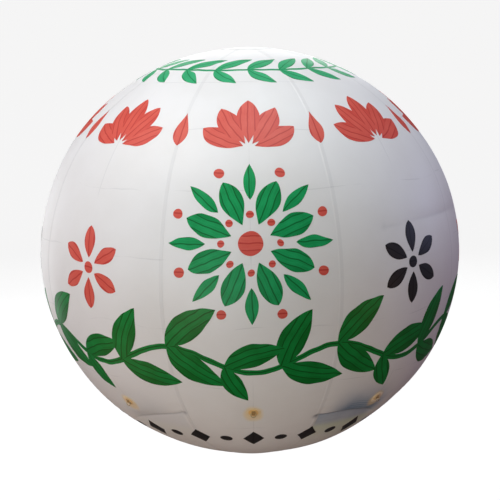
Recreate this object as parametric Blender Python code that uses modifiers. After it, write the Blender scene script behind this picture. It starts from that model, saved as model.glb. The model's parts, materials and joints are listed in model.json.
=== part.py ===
"""An advertising balloon: a sphere of eight welded PVC gores, with tie rings and a filling valve.

Metres, +Z up. The origin is the middle of the envelope, and the front faces -Y.
"""

import math

import bmesh
import bpy
from mathutils import Matrix, Vector

# Envelope: a sphere that its own weight leaves a little wider than it is tall
EQUATOR_RADIUS = 1.525
POLE_RADIUS = 1.480
SKIN = 0.010
GORES = 8
GORE_ANGLE = 360.0 / GORES
FRONT_AZIMUTH = -90.0

# Flat facets of the envelope, in degrees of latitude and columns of one gore.
# The column count is odd, so that a facet lies on the middle line of each gore.
GORE_COLUMNS = 7
ROW_STEP = 6.0
ROWS_BELOW_PATCH = 7.5
ROW_COUNT = 29
END_LATITUDE = 85.5
FACET_RISE = 0.002  # half the sag of a facet, so that facets straddle the true surface

# Pieces that rest on each other keep this gap
GAP = 0.0003

# Tie patch: a round pad on the middle line of each gore
PATCH_LATITUDE = -37.5
PATCH_RADIUS = 0.050
PATCH_THICKNESS = 0.004
PATCH_SIDES = 28

# Webbing tab that holds the ring's bar on the pad
TAB_WIDTH = 0.025
TAB_HALF_LENGTH = 0.021
TAB_THICKNESS = 0.0025
TUNNEL_RADIUS = 0.0029
BAR_HEIGHT = 0.0080
ARCH_STEPS = 8

# Tie ring: a D of round wire that hangs straight down from its bar
WIRE_RADIUS = 0.0025
RING_HALF_WIDTH = 0.0185
RING_CORNER_RADIUS = 0.005
CORNER_STEPS = 3
BOW_CENTRE_DROP = 0.008
BOW_STEPS = 11  # odd, so that a flat of the wire lies at the lowest point

# Round discs welded over the tips of the gores, at the crown and at the base
DISC_RADIUS = 0.180
DISC_THICKNESS = 0.004
DISC_HOLE_RADIUS = 0.0275

# Filling valve below the base disc
THROAT_RADIUS = 0.022
STEM_RADIUS = 0.027
FLANGE_RADIUS = 0.055
FLANGE_THICKNESS = 0.004
STEM_LENGTH = 0.018
VALVE_STEPS = 32

# Cap that closes the valve's mouth from below, and its hinge on the +Y side
CAP_RADIUS = 0.031
CAP_THICKNESS = 0.004
HINGE_REACH = 0.037
HINGE_RISE = 0.0015
KNUCKLE_RADIUS = 0.004
KNUCKLE_LENGTH = 0.010
KNUCKLE_STEPS = 16
EAR_THICKNESS = 0.004
EAR_GAP = 0.0005
PIN_RADIUS = 0.0015
PIN_CLEARANCE = 0.0003
WELD_OVERLAP = 0.001  # how far the shapes that make up one moulding run into each other

# Edges that bend by more than this stay sharp, in degrees
SHARP_ANGLE = 35.0

# Colour, roughness and metallic value of each material
MATERIALS = {
    "white_pvc": ((0.82, 0.82, 0.83), 0.38, 0.0),
    "yellow_pvc": ((0.72, 0.55, 0.24), 0.45, 0.0),
    "brown_webbing": ((0.30, 0.20, 0.10), 0.85, 0.0),
    "steel": ((0.62, 0.60, 0.57), 0.30, 1.0),
    "valve_plastic": ((0.70, 0.70, 0.72), 0.50, 0.0),
}


def clear_scene():
    for obj in list(bpy.data.objects):
        bpy.data.objects.remove(obj)


def make_materials():
    made = {}
    for name, (colour, roughness, metallic) in MATERIALS.items():
        material = bpy.data.materials.new(name)
        material.use_nodes = True
        shader = material.node_tree.nodes["Principled BSDF"]
        shader.inputs["Base Color"].default_value = (*colour, 1.0)
        shader.inputs["Roughness"].default_value = roughness
        shader.inputs["Metallic"].default_value = metallic
        made[name] = material
    return made


def place(name, data, matrix):
    """Adds one named piece to the balloon's collection."""
    obj = bpy.data.objects.new(name, data)
    collection.objects.link(obj)
    obj.matrix_world = matrix
    return obj


def finish_mesh(bm, name, material):
    bmesh.ops.recalc_face_normals(bm, faces=bm.faces)
    if bm.calc_volume(signed=True) < 0.0:
        bmesh.ops.reverse_faces(bm, faces=bm.faces)
    mesh = bpy.data.meshes.new(name)
    bm.to_mesh(mesh)
    bm.free()
    return shade(mesh, material)


def shade(mesh, material):
    mesh.materials.append(materials[material])
    mesh.shade_smooth()
    mesh.set_sharp_from_angle(angle=math.radians(SHARP_ANGLE))
    return mesh


def turn(name, outline, closed, steps, material, start_angle=0.0):
    """Turns an outline of radius and height about Z, with its first edge at start_angle."""
    last = len(outline) - 1
    edges = [(i, i + 1) for i in range(last)]
    if closed:
        edges.append((last, 0))
    profile_mesh = bpy.data.meshes.new(name)
    profile_mesh.from_pydata([(radius, 0.0, height) for radius, height in outline], edges, [])
    profile = bpy.data.objects.new(name, profile_mesh)
    guides.objects.link(profile)
    screw = profile.modifiers.new("Turn", "SCREW")
    screw.steps = steps
    screw.render_steps = steps
    screw.use_merge_vertices = True
    screw.merge_threshold = 0.00001
    depsgraph = bpy.context.evaluated_depsgraph_get()
    mesh = bpy.data.meshes.new_from_object(profile.evaluated_get(depsgraph))
    bpy.data.objects.remove(profile)
    matrix = Matrix.Rotation(math.radians(start_angle), 4, "Z")
    return place(name, shade(mesh, material), matrix)


# Envelope surface

def skin_radius_and_height(latitude, depth=0.0):
    """A point on the meridian, depth below the outer surface."""
    angle = math.radians(latitude)
    radius = (EQUATOR_RADIUS + FACET_RISE - depth) * math.cos(angle)
    height = (POLE_RADIUS + FACET_RISE - depth) * math.sin(angle)
    return radius, height


def row_latitudes():
    """Edges of the facet rows, from the base disc up to the crown disc."""
    lowest = PATCH_LATITUDE - ROWS_BELOW_PATCH * ROW_STEP
    return [-END_LATITUDE] + [lowest + i * ROW_STEP for i in range(ROW_COUNT)]


def gore_azimuth(index):
    return FRONT_AZIMUTH + index * GORE_ANGLE


def gore_mesh():
    """One gore about +X: a sheet of facets, thickened inwards, half a gap short of the seams at its sides."""
    rows = row_latitudes()
    last_row = len(rows) - 1
    bm = bmesh.new()
    bmesh.ops.create_grid(bm, x_segments=GORE_COLUMNS, y_segments=last_row, size=1.0)
    inner = bmesh.ops.extrude_face_region(bm, geom=bm.faces[:])["geom"]
    inner_verts = {v for v in inner if isinstance(v, bmesh.types.BMVert)}
    for vert in bm.verts:
        column = round((vert.co.x + 1.0) / 2.0 * GORE_COLUMNS)
        row = round((vert.co.y + 1.0) / 2.0 * last_row)
        depth = SKIN if vert in inner_verts else 0.0
        radius, height = skin_radius_and_height(rows[row], depth)
        longitude = math.radians((column / GORE_COLUMNS - 0.5) * GORE_ANGLE)
        vert.co = (radius * math.cos(longitude), radius * math.sin(longitude), height)
        if column in (0, GORE_COLUMNS):
            side = 1.0 if column else -1.0
            inwards = Vector((math.sin(longitude), -math.cos(longitude), 0.0)) * side
            vert.co += inwards * GAP / 2.0
    return finish_mesh(bm, "gore", "white_pvc")


def build_gores():
    mesh = gore_mesh()
    for index in range(GORES):
        turned = Matrix.Rotation(math.radians(gore_azimuth(index)), 4, "Z")
        place(f"gore_{index + 1}", mesh, turned)


# Tie patches, tabs and rings

def patch_facet(index):
    """Middle, and the east, up and outward directions, of the facet that carries a gore's tie patch."""
    half_column = math.radians(GORE_ANGLE / GORE_COLUMNS / 2.0)
    ends = []
    for side in (-0.5, 0.5):
        radius, height = skin_radius_and_height(PATCH_LATITUDE + side * ROW_STEP)
        ends.append(Vector((radius * math.cos(half_column), 0.0, height)))
    low, high = ends
    east = Vector((0.0, 1.0, 0.0))
    up = (high - low).normalized()
    out = east.cross(up)
    turned = Matrix.Rotation(math.radians(gore_azimuth(index)), 3, "Z")
    return turned @ ((low + high) / 2.0), turned @ east, turned @ up, turned @ out


def frame_matrix(origin, x_axis, y_axis, z_axis):
    turned = Matrix((x_axis, y_axis, z_axis)).transposed()
    return Matrix.Translation(origin) @ turned.to_4x4()


def patch_mesh():
    bm = bmesh.new()
    bmesh.ops.create_cone(
        bm,
        cap_ends=True,
        segments=PATCH_SIDES,
        radius1=PATCH_RADIUS,
        radius2=PATCH_RADIUS,
        depth=PATCH_THICKNESS,
    )
    bmesh.ops.translate(bm, verts=bm.verts, vec=(0.0, 0.0, GAP + PATCH_THICKNESS / 2.0))
    return finish_mesh(bm, "tie_patch", "yellow_pvc")


def arch(radius, start, end):
    """Points of an arc over the ring's bar, in the tab's side view."""
    points = []
    for i in range(ARCH_STEPS + 1):
        angle = math.radians(start + (end - start) * i / ARCH_STEPS)
        points.append((radius * math.cos(angle), BAR_HEIGHT + radius * math.sin(angle)))
    return points


def tab_curve():
    """Side view of the webbing: a foot below the bar, an arch over it, and a foot above it."""
    foot_low = 2.0 * GAP + PATCH_THICKNESS
    foot_high = foot_low + TAB_THICKNESS
    arch_radius = TUNNEL_RADIUS + TAB_THICKNESS
    outline = [
        (-TAB_HALF_LENGTH, foot_low),
        (-TUNNEL_RADIUS, foot_low),
        *arch(TUNNEL_RADIUS, 180.0, 0.0),
        (TUNNEL_RADIUS, foot_low),
        (TAB_HALF_LENGTH, foot_low),
        (TAB_HALF_LENGTH, foot_high),
        (arch_radius, foot_high),
        *arch(arch_radius, 0.0, 180.0),
        (-arch_radius, foot_high),
        (-TAB_HALF_LENGTH, foot_high),
    ]
    curve = bpy.data.curves.new("tie_tab", "CURVE")
    curve.dimensions = "2D"
    curve.fill_mode = "BOTH"
    curve.extrude = TAB_WIDTH / 2.0
    spline = curve.splines.new("POLY")
    spline.points.add(len(outline) - 1)
    for point, (along, height) in zip(spline.points, outline):
        point.co = (along, height, 0.0, 1.0)
    spline.use_cyclic_u = True
    curve.materials.append(materials["brown_webbing"])
    return curve


def ring_outline():
    """Centre line of the D: corner, bow, corner, and the straight bar that closes it along X."""
    points = []
    corner_x = RING_HALF_WIDTH - RING_CORNER_RADIUS
    for i in range(CORNER_STEPS + 1):
        angle = math.radians(90.0 - 90.0 * i / CORNER_STEPS)
        across = corner_x + RING_CORNER_RADIUS * math.cos(angle)
        points.append((across, RING_CORNER_RADIUS * (math.sin(angle) - 1.0)))
    for i in range(BOW_STEPS + 1):
        angle = math.radians(-180.0 * i / BOW_STEPS)
        drop = BOW_CENTRE_DROP - RING_HALF_WIDTH * math.sin(angle)
        points.append((RING_HALF_WIDTH * math.cos(angle), -drop))
    for i in range(CORNER_STEPS + 1):
        angle = math.radians(180.0 - 90.0 * i / CORNER_STEPS)
        across = RING_CORNER_RADIUS * math.cos(angle) - corner_x
        points.append((across, RING_CORNER_RADIUS * (math.sin(angle) - 1.0)))
    return points


def ring_curve():
    curve = bpy.data.curves.new("tie_ring", "CURVE")
    curve.dimensions = "3D"
    curve.bevel_depth = WIRE_RADIUS
    curve.bevel_resolution = 2
    outline = ring_outline()
    spline = curve.splines.new("POLY")
    spline.points.add(len(outline) - 1)
    for point, (across, height) in zip(spline.points, outline):
        point.co = (across, height, 0.0, 1.0)
        point.tilt = math.radians(22.5)
    spline.use_cyclic_u = True
    curve.materials.append(materials["steel"])
    return curve


def build_tie_points():
    patch = patch_mesh()
    tab = tab_curve()
    ring = ring_curve()
    world_up = Vector((0.0, 0.0, 1.0))
    for index in range(GORES):
        middle, east, up, out = patch_facet(index)
        number = index + 1
        place(f"tie_patch_{number}", patch, frame_matrix(middle, east, up, out))
        place(f"tie_tab_{number}", tab, frame_matrix(middle, up, out, east))
        bar = middle + out * BAR_HEIGHT
        hanging = frame_matrix(bar, east, world_up, east.cross(world_up))
        place(f"tie_ring_{number}", ring, hanging)


# Crown disc, base disc and filling valve

def tip_height(radius, end_row, next_row):
    """Height of the envelope near a pole: flat inside the gores' tips, then along their last row."""
    end_radius, end_height = skin_radius_and_height(end_row)
    next_radius, next_height = skin_radius_and_height(next_row)
    share = max(0.0, (radius - end_radius) / (next_radius - end_radius))
    return end_height + share * (next_height - end_height)


def build_crown_disc():
    rows = row_latitudes()
    tip_radius, tip = skin_radius_and_height(rows[-1])
    edge = tip_height(DISC_RADIUS, rows[-1], rows[-2])
    outline = [
        (0.0, tip + GAP + DISC_THICKNESS),
        (tip_radius, tip + GAP + DISC_THICKNESS),
        (DISC_RADIUS, edge + GAP + DISC_THICKNESS),
        (DISC_RADIUS, edge + GAP),
        (tip_radius, tip + GAP),
        (0.0, tip + GAP),
    ]
    turn("crown_disc", outline, False, GORES * GORE_COLUMNS, "white_pvc", GORE_ANGLE / 2.0)


def build_base_disc():
    """Returns the height of the disc's underside, where the valve's flange goes."""
    rows = row_latitudes()
    tip_radius, tip = skin_radius_and_height(rows[0])
    edge = tip_height(DISC_RADIUS, rows[0], rows[1])
    underside = tip - GAP - DISC_THICKNESS
    outline = [
        (DISC_RADIUS, edge - GAP),
        (DISC_RADIUS, edge - GAP - DISC_THICKNESS),
        (tip_radius, underside),
        (DISC_HOLE_RADIUS, underside),
        (DISC_HOLE_RADIUS, tip - GAP),
        (tip_radius, tip - GAP),
    ]
    turn("base_disc", outline, True, GORES * GORE_COLUMNS, "white_pvc", GORE_ANGLE / 2.0)
    return underside


def guide(name, bm):
    """A hidden shape that a moulding is joined with or cut by."""
    bmesh.ops.recalc_face_normals(bm, faces=bm.faces)
    mesh = bpy.data.meshes.new(name)
    bm.to_mesh(mesh)
    bm.free()
    obj = bpy.data.objects.new(name, mesh)
    obj.hide_render = True
    obj.display_type = "WIRE"
    guides.objects.link(obj)
    return obj


def guide_box(name, low, high):
    bm = bmesh.new()
    size = Vector(high) - Vector(low)
    middle = (Vector(high) + Vector(low)) / 2.0
    matrix = Matrix.Translation(middle) @ Matrix.Diagonal((*size, 1.0))
    bmesh.ops.create_cube(bm, size=1.0, matrix=matrix)
    return guide(name, bm)


def rod_along_x(radius, low_x, high_x):
    """A round bar along X."""
    bm = bmesh.new()
    bmesh.ops.create_cone(
        bm,
        cap_ends=True,
        segments=KNUCKLE_STEPS,
        radius1=radius,
        radius2=radius,
        depth=high_x - low_x,
        matrix=Matrix.Rotation(math.radians(90.0), 4, "Y"),
    )
    bmesh.ops.translate(bm, verts=bm.verts, vec=((low_x + high_x) / 2.0, 0.0, 0.0))
    return bm


def combine(obj, operation, *tools):
    for tool in tools:
        boolean = obj.modifiers.new(tool.name, "BOOLEAN")
        boolean.operation = operation
        boolean.solver = "EXACT"
        boolean.object = tool


def build_valve_stem(underside, mouth):
    """The tube that gas goes through, from the base disc's upper side down to the mouth."""
    spigot_top = underside + DISC_THICKNESS
    outline = [
        (STEM_RADIUS, spigot_top),
        (STEM_RADIUS, mouth),
        (THROAT_RADIUS, mouth),
        (THROAT_RADIUS, spigot_top),
    ]
    turn("valve_stem", outline, True, VALVE_STEPS, "valve_plastic")


def build_valve_flange(flange_top, hinge, pin_hole):
    """The ring round the stem, with two ears that hold the cap's pin."""
    flange_low = flange_top - FLANGE_THICKNESS
    outline = [
        (FLANGE_RADIUS, flange_top),
        (FLANGE_RADIUS, flange_low),
        (STEM_RADIUS + GAP, flange_low),
        (STEM_RADIUS + GAP, flange_top),
    ]
    flange = turn("valve_flange", outline, True, VALVE_STEPS, "valve_plastic")
    ear_start = KNUCKLE_LENGTH / 2.0 + EAR_GAP
    ear_end = ear_start + EAR_THICKNESS
    for side, low_x, high_x in (("left", -ear_end, -ear_start), ("right", ear_start, ear_end)):
        post_low = (low_x, hinge.y - KNUCKLE_RADIUS, hinge.z)
        post_high = (high_x, hinge.y + KNUCKLE_RADIUS, flange_low + WELD_OVERLAP)
        post = guide_box(f"{side}_ear_post", post_low, post_high)
        eye = guide(f"{side}_ear_eye", rod_along_x(KNUCKLE_RADIUS, low_x, high_x))
        eye.location = hinge
        combine(flange, "UNION", post, eye)
    combine(flange, "DIFFERENCE", pin_hole)
    pin_mesh = finish_mesh(rod_along_x(PIN_RADIUS, -ear_end, ear_end), "valve_pin", "steel")
    place("valve_pin", pin_mesh, Matrix.Translation(hinge))


def build_valve_cap(mouth, hinge, pin_hole):
    """The lid under the mouth, with an arm and a knuckle that turns on the pin."""
    lid_top = mouth - GAP
    lid_low = lid_top - CAP_THICKNESS
    outline = [(0.0, lid_top), (CAP_RADIUS, lid_top), (CAP_RADIUS, lid_low), (0.0, lid_low)]
    cap = turn("valve_cap", outline, False, VALVE_STEPS, "valve_plastic")
    half_width = KNUCKLE_LENGTH / 2.0
    arm_low = (-half_width, CAP_RADIUS - 2.0 * WELD_OVERLAP, lid_low)
    arm = guide_box("cap_arm", arm_low, (half_width, hinge.y, hinge.z))
    knuckle = guide("cap_knuckle", rod_along_x(KNUCKLE_RADIUS, -half_width, half_width))
    knuckle.location = hinge
    combine(cap, "UNION", arm, knuckle)
    combine(cap, "DIFFERENCE", pin_hole)
    pivot = bpy.data.objects.new("valve_cap_pivot", None)
    pivot.location = hinge
    collection.objects.link(pivot)
    cap.parent = pivot
    cap.matrix_parent_inverse = Matrix.Translation(-hinge)


def build_valve(underside):
    flange_top = underside - GAP
    mouth = flange_top - FLANGE_THICKNESS - STEM_LENGTH
    hinge = Vector((0.0, HINGE_REACH, mouth + HINGE_RISE))
    hole_radius = PIN_RADIUS + PIN_CLEARANCE
    pin_hole = guide("pin_hole", rod_along_x(hole_radius, -2.0 * KNUCKLE_LENGTH, 2.0 * KNUCKLE_LENGTH))
    pin_hole.location = hinge
    build_valve_stem(underside, mouth)
    build_valve_flange(flange_top, hinge, pin_hole)
    build_valve_cap(mouth, hinge, pin_hole)


clear_scene()
materials = make_materials()
collection = bpy.data.collections.new("advertising_balloon")
bpy.context.scene.collection.children.link(collection)
guides = bpy.data.collections.new("guides")
bpy.context.scene.collection.children.link(guides)
build_gores()
build_tie_points()
build_crown_disc()
build_valve(build_base_disc())
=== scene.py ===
# A round PVC advertising balloon in the air: welded gores, painted leaves and petals, tie points, a valve.
# Metres and +Z up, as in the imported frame. Azimuths are degrees from the front (-Y), positive towards +X.
import json
import math

import bpy
import numpy as np
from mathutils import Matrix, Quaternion, Vector


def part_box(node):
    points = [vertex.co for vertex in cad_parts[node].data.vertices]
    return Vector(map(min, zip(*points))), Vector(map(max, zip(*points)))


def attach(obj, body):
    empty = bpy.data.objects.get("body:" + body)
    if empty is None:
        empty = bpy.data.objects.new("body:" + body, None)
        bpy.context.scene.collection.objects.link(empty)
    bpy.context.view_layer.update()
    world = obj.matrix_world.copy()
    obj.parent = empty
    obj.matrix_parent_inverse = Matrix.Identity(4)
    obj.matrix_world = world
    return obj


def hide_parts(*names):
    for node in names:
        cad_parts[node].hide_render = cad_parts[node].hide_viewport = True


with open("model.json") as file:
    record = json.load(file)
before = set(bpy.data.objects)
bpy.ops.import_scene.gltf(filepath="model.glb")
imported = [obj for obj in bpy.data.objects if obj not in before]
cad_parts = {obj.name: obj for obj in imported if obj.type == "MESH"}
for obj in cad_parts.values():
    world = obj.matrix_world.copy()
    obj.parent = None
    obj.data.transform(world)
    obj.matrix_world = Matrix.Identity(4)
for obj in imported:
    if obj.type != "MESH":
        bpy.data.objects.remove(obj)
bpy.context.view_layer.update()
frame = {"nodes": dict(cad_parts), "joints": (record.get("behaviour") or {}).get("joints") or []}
print("frame loaded:", len(frame["nodes"]), "nodes")

goreCount = 8
goreAngle = 360.0 / goreCount
millimetre = 0.001


# Camera

cameraView = {
    "distance": 10.675,     # from the middle of the balloon
    "elevation": 9.2,       # degrees above the horizon
    "azimuth": -0.2,
    "roll": -1.0,
    "lens": 104.2,
}


def placeFacingMiddle(item, azimuth, elevation, distance, roll=0.0):
    # Puts a camera or lamp that far from the balloon's middle, in that direction, and turns it to the middle
    a, e = math.radians(azimuth), math.radians(elevation)
    away = Vector((math.sin(a) * math.cos(e), -math.cos(a) * math.cos(e), math.sin(e)))
    rolled = Quaternion((0.0, 0.0, 1.0), math.radians(roll))
    item.rotation_mode = "QUATERNION"
    item.rotation_quaternion = (-away).to_track_quat("-Z", "Y") @ rolled
    item.location = away * distance
    bpy.context.scene.collection.objects.link(item)


def makeCamera(view):
    # Looks at the middle of the balloon
    camera = bpy.data.objects.new("camera", bpy.data.cameras.new("camera"))
    camera.data.lens = view["lens"]
    placeFacingMiddle(camera, view["azimuth"], view["elevation"], view["distance"], view["roll"])
    bpy.context.scene.camera = camera


makeCamera(cameraView)


# Materials: a wrapped socket does the arithmetic

class Wire:
    # A socket in a material. Arithmetic on wires adds Math nodes, and add() puts in any other node.
    def __init__(self, tree, socket=None):
        self.tree = tree
        self.socket = socket

    def add(self, kind, settings=None, values=None, output=0):
        node = self.tree.nodes.new("ShaderNode" + kind)
        for key, value in (settings or {}).items():
            setattr(node, key, value)
        for key, value in (values or {}).items():
            if isinstance(value, Wire):
                self.tree.links.new(value.socket, node.inputs[key])
            else:
                node.inputs[key].default_value = value
        return Wire(self.tree, node.outputs[output])

    def maths(self, operation, first, second=0.0):
        return self.add("Math", {"operation": operation}, {0: first, 1: second})

    def __add__(self, other):
        return self.maths("ADD", self, other)

    def __sub__(self, other):
        return self.maths("SUBTRACT", self, other)

    def __rsub__(self, other):
        return self.maths("SUBTRACT", other, self)

    def __mul__(self, other):
        return self.maths("MULTIPLY", self, other)

    def __truediv__(self, other):
        return self.maths("DIVIDE", self, other)

    __radd__ = __add__
    __rmul__ = __mul__

    def wave(self, pitch):
        # sin(2 pi x / pitch)
        return self.maths("SINE", self * (2.0 * math.pi / pitch))

    def rise(self, low, high):
        # 0 below low, 1 above high, smooth between them; low may be the larger for a fall
        return self.add(
            "MapRange",
            {"interpolation_type": "SMOOTHSTEP"},
            {"Value": self, "From Min": low, "From Max": high},
        )

    def blend(self, first, second):
        # The first colour where this wire is 0, the second where it is 1
        return self.add("Mix", {"data_type": "RGBA"}, {0: self, 6: first, 7: second}, output=2)


def rgb(red, green, blue):
    return (red, green, blue, 1.0)


def startMaterial(name, constants):
    # A Principled material with these fixed sockets. Returns a wire to build with, and a function that plugs
    # in what varies, with the height in metres, and hands over the material.
    material = bpy.data.materials.new(name)
    material.use_nodes = True
    wire = Wire(material.node_tree)
    shader = wire.tree.nodes["Principled BSDF"]
    for key, value in constants.items():
        shader.inputs[key].default_value = value

    def finish(colour, roughness=None, height=None, metallic=None):
        links = {"Base Color": colour, "Roughness": roughness, "Metallic": metallic}
        if height is not None:
            links["Normal"] = wire.add("Bump", None, {"Height": height, "Distance": 1.0, "Strength": 1.0})
        for socket, value in links.items():
            if value is not None:
                wire.tree.links.new(value.socket, shader.inputs[socket])
        return material

    return wire, finish


def objectPlace(wire):
    # Object coordinates, which are metres in the shared frame
    return wire.add("TexCoord", output=3)


def axisOf(wire, vector, number):
    # One of a vector's three values
    return wire.add("SeparateXYZ", None, {0: vector}, output=number)


def meshValue(wire, name):
    # A named value that the mesh carries at each point
    return wire.add("Attribute", {"attribute_name": name}, output=2)


def noise(wire, vector, scale, detail=2.0, roughness=0.5):
    # The scale is about the number of blotches in a metre
    values = {"Vector": vector, "Scale": scale, "Detail": detail, "Roughness": roughness}
    return wire.add("TexNoise", None, values)


def splitUv(wire, name):
    # A piece's UV map, and its two values in metres
    uv = wire.add("UVMap", {"uv_map": name})
    return uv, axisOf(wire, uv, 0), axisOf(wire, uv, 1)


filmFinish = {
    "white": rgb(0.80, 0.80, 0.81),
    "aged": rgb(0.70, 0.69, 0.68),
    "age": (0.45, 0.20),                    # how far mottling and specks turn the white to the aged one
    # A dark colour: painted shade in the crease grooves, and the darker packing folds and welds
    "shadeAndDirt": rgb(0.13, 0.14, 0.18),
    "shadeAndDirtShares": (0.85, 0.16, 0.07),       # how far creases (painted shade in their grooves), packing folds and welds are darkened
    "foldShade": rgb(0.155, 0.245, 0.37),        # painted shade beside the folds, tinted blue as a painted sky reflection
    "lowFoldShade": rgb(0.42, 0.53, 0.24),       # greenish further down
    "foldShadeTurn": (-1.035, -1.105),           # between these heights it turns green
    "foldPitch": 0.46,                      # packing folds, along the gore
    "foldWander": 0.10,
    "foldWidth": 0.006,
    "foldDepth": 0.0005,
    "wrinkleHeight": 0.0016,
    "grainHeight": 0.00006,
    "knurlPitch": 0.004,
    "knurlHeight": 0.00012,
    "weldEdge": (0.0135, 0.0115),           # from the seam: where the weld ends, and where it is full
    "glue": rgb(0.84, 0.65, 0.35),          # yellowed glue that crept out round each tie pad and below it
    "glueMiddle": -1.018,                   # along the gore
    "glueSize": (0.066, 0.084),             # half its width and height
    "glueEdge": (1.45, 0.30),               # where it starts to show, and where it is full, in those sizes
    "glueAmount": 0.72,
}


def makeFilmMaterial(look):
    # White film, aged in blotches and specks, with packing folds, glue and knurled welds, and painted shade
    # in and beside the creases, tinted blue beside them as a painted sky reflection
    wire, finish = startMaterial("white_film", {"Specular IOR Level": 0.32})
    place = objectPlace(wire)
    _, across, along = splitUv(wire, "filmUv")
    crease, foldShade, seamDistance = (meshValue(wire, name) for name in ("crease", "foldShade", "seamDistance"))
    weld = seamDistance.rise(*look["weldEdge"])
    # Packing folds: a thin line each pitch along the gore and one down its middle, broken up by noise
    wander = noise(wire, place, 2.2) * look["foldWander"]
    share = wire.maths("FRACT", (along + wander) / look["foldPitch"])
    offset = wire.maths("ABSOLUTE", share - 0.5) * look["foldPitch"]
    fold = offset.rise(look["foldWidth"], 0.0) * noise(wire, place, 3.1).rise(0.47, 0.62)
    middle = wire.maths("ABSOLUTE", across).rise(look["foldWidth"], 0.0)
    fold = wire.maths("MAXIMUM", fold, middle * noise(wire, place, 2.0).rise(0.5, 0.66))
    # Age, painted shade beside the folds, darkening (painted shade in the crease grooves, darker folds and
    # welds) and glue, one over the other
    mottle = noise(wire, place, 1.7, 4.0).rise(0.35, 0.75)
    specks = noise(wire, place, 26.0, 6.0, 0.7).rise(0.60, 0.78)
    mottled, specked = look["age"]
    colour = (mottle * mottled + specks * specked).blend(look["white"], look["aged"])
    # Painted shade beside the folds, bluish like a reflected sky and greenish lower down, unevenly
    foldShadeColour = axisOf(wire, place, 2).rise(*look["foldShadeTurn"]).blend(look["foldShade"], look["lowFoldShade"])
    uneven = noise(wire, place, 9.0, 4.0, 0.6) * 0.5 + 0.75
    colour = (foldShade * uneven).blend(colour, foldShadeColour)
    inCreases, inFolds, onWelds = look["shadeAndDirtShares"]
    # Painted shade in the crease grooves and knots; packing folds and welds darkened with the same colour
    colour = (crease * inCreases).blend(colour, look["shadeAndDirt"])
    colour = (fold * inFolds + weld * onWelds).blend(colour, look["shadeAndDirt"])
    wide, high = look["glueSize"]
    x, y = across / wide, (along - look["glueMiddle"]) / high
    reach = x * x + y * y + (noise(wire, place, 16.0, 3.0) - 0.5) * 0.8
    colour = (reach.rise(*look["glueEdge"]) * look["glueAmount"]).blend(colour, look["glue"])
    wrinkles = noise(wire, place, 5.0, 3.0, 0.45) * look["wrinkleHeight"]
    grain = noise(wire, place, 210.0) * look["grainHeight"]
    knurl = along.wave(look["knurlPitch"]) * weld * look["knurlHeight"]
    height = wrinkles + grain + knurl - fold * look["foldDepth"]
    return finish(colour, 0.46 + mottle * 0.08 + specks * 0.10, height)


paintFinish = {
    # Light, body and dark tone of each paint
    "green": (rgb(0.010, 0.35, 0.110), rgb(0.001, 0.205, 0.050), rgb(0.001, 0.090, 0.022)),
    "deepGreen": (rgb(0.004, 0.235, 0.045), rgb(0.001, 0.127, 0.015), rgb(0.0, 0.058, 0.006)),
    "red": (rgb(0.68, 0.120, 0.090), rgb(0.60, 0.072, 0.055), rgb(0.44, 0.036, 0.030)),
    # A lighter copy of the green: a painted highlight for glare on the paint near the top
    "glareGreen": (rgb(0.045, 0.42, 0.190), rgb(0.022, 0.30, 0.120), rgb(0.008, 0.18, 0.060)),
    "black": (rgb(0.022, 0.020, 0.021), rgb(0.010, 0.008, 0.009), rgb(0.004, 0.003, 0.003)),
}
brush = {
    "lane": 0.045, "laneWobble": 0.35,
    "overlap": (0.22, 0.132),       # shares of a lane: where the second coat ends, and where it is full
    "streaks": 260.0, "streakLength": 5.0,
    "streakHeight": 0.00010, "coatHeight": 0.00012,
}


def makePaintMaterial(name, tones):
    # Brush lanes side by side: each lane has its own tone, and two coats lie where lanes overlap
    light, body, dark = tones
    wire, finish = startMaterial(name + "_brushed", {"Specular IOR Level": 0.22})
    uv, along, across = splitUv(wire, "strokeUv")
    stretched = {0: along * brush["streakLength"], 1: across * brush["streaks"]}
    streak = noise(wire, wire.add("CombineXYZ", None, stretched), 1.0, 3.0, 0.6)
    lane = across / brush["lane"] + noise(wire, uv, 7.0) * brush["laneWobble"]
    number = wire.maths("FLOOR", lane)
    tone = wire.add("TexWhiteNoise", {"noise_dimensions": "1D"}, {"W": number + 3.0})
    overlap = (lane - number).rise(*brush["overlap"])
    patch = noise(wire, uv, 9.0, 3.0)
    thin = (tone * 0.35 + (streak - 0.5) * 1.7 + patch * 0.75 - 0.05) * (1.0 - overlap)
    colour = thin.rise(0.05, 0.95).blend(body, light)
    colour = (overlap * 0.65 + streak.rise(0.56, 0.72) * 0.28).blend(colour, dark)
    height = streak * brush["streakHeight"] + overlap * brush["coatHeight"]
    return finish(colour, 0.34 + streak * 0.22, height)


padFinish = {
    "rim": rgb(0.84, 0.68, 0.42), "worn": rgb(0.76, 0.60, 0.35),
    "amber": rgb(0.80, 0.50, 0.165), "amberEdge": (0.042, 0.027),       # radii where it starts and is full
    "grime": rgb(0.34, 0.21, 0.08), "grimeEdge": (0.030, 0.012),
    "dust": 0.65,               # pale dust in the weave, seen from the side
    "scrim": 0.001745,          # pitch of the threads under the coating
}


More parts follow.
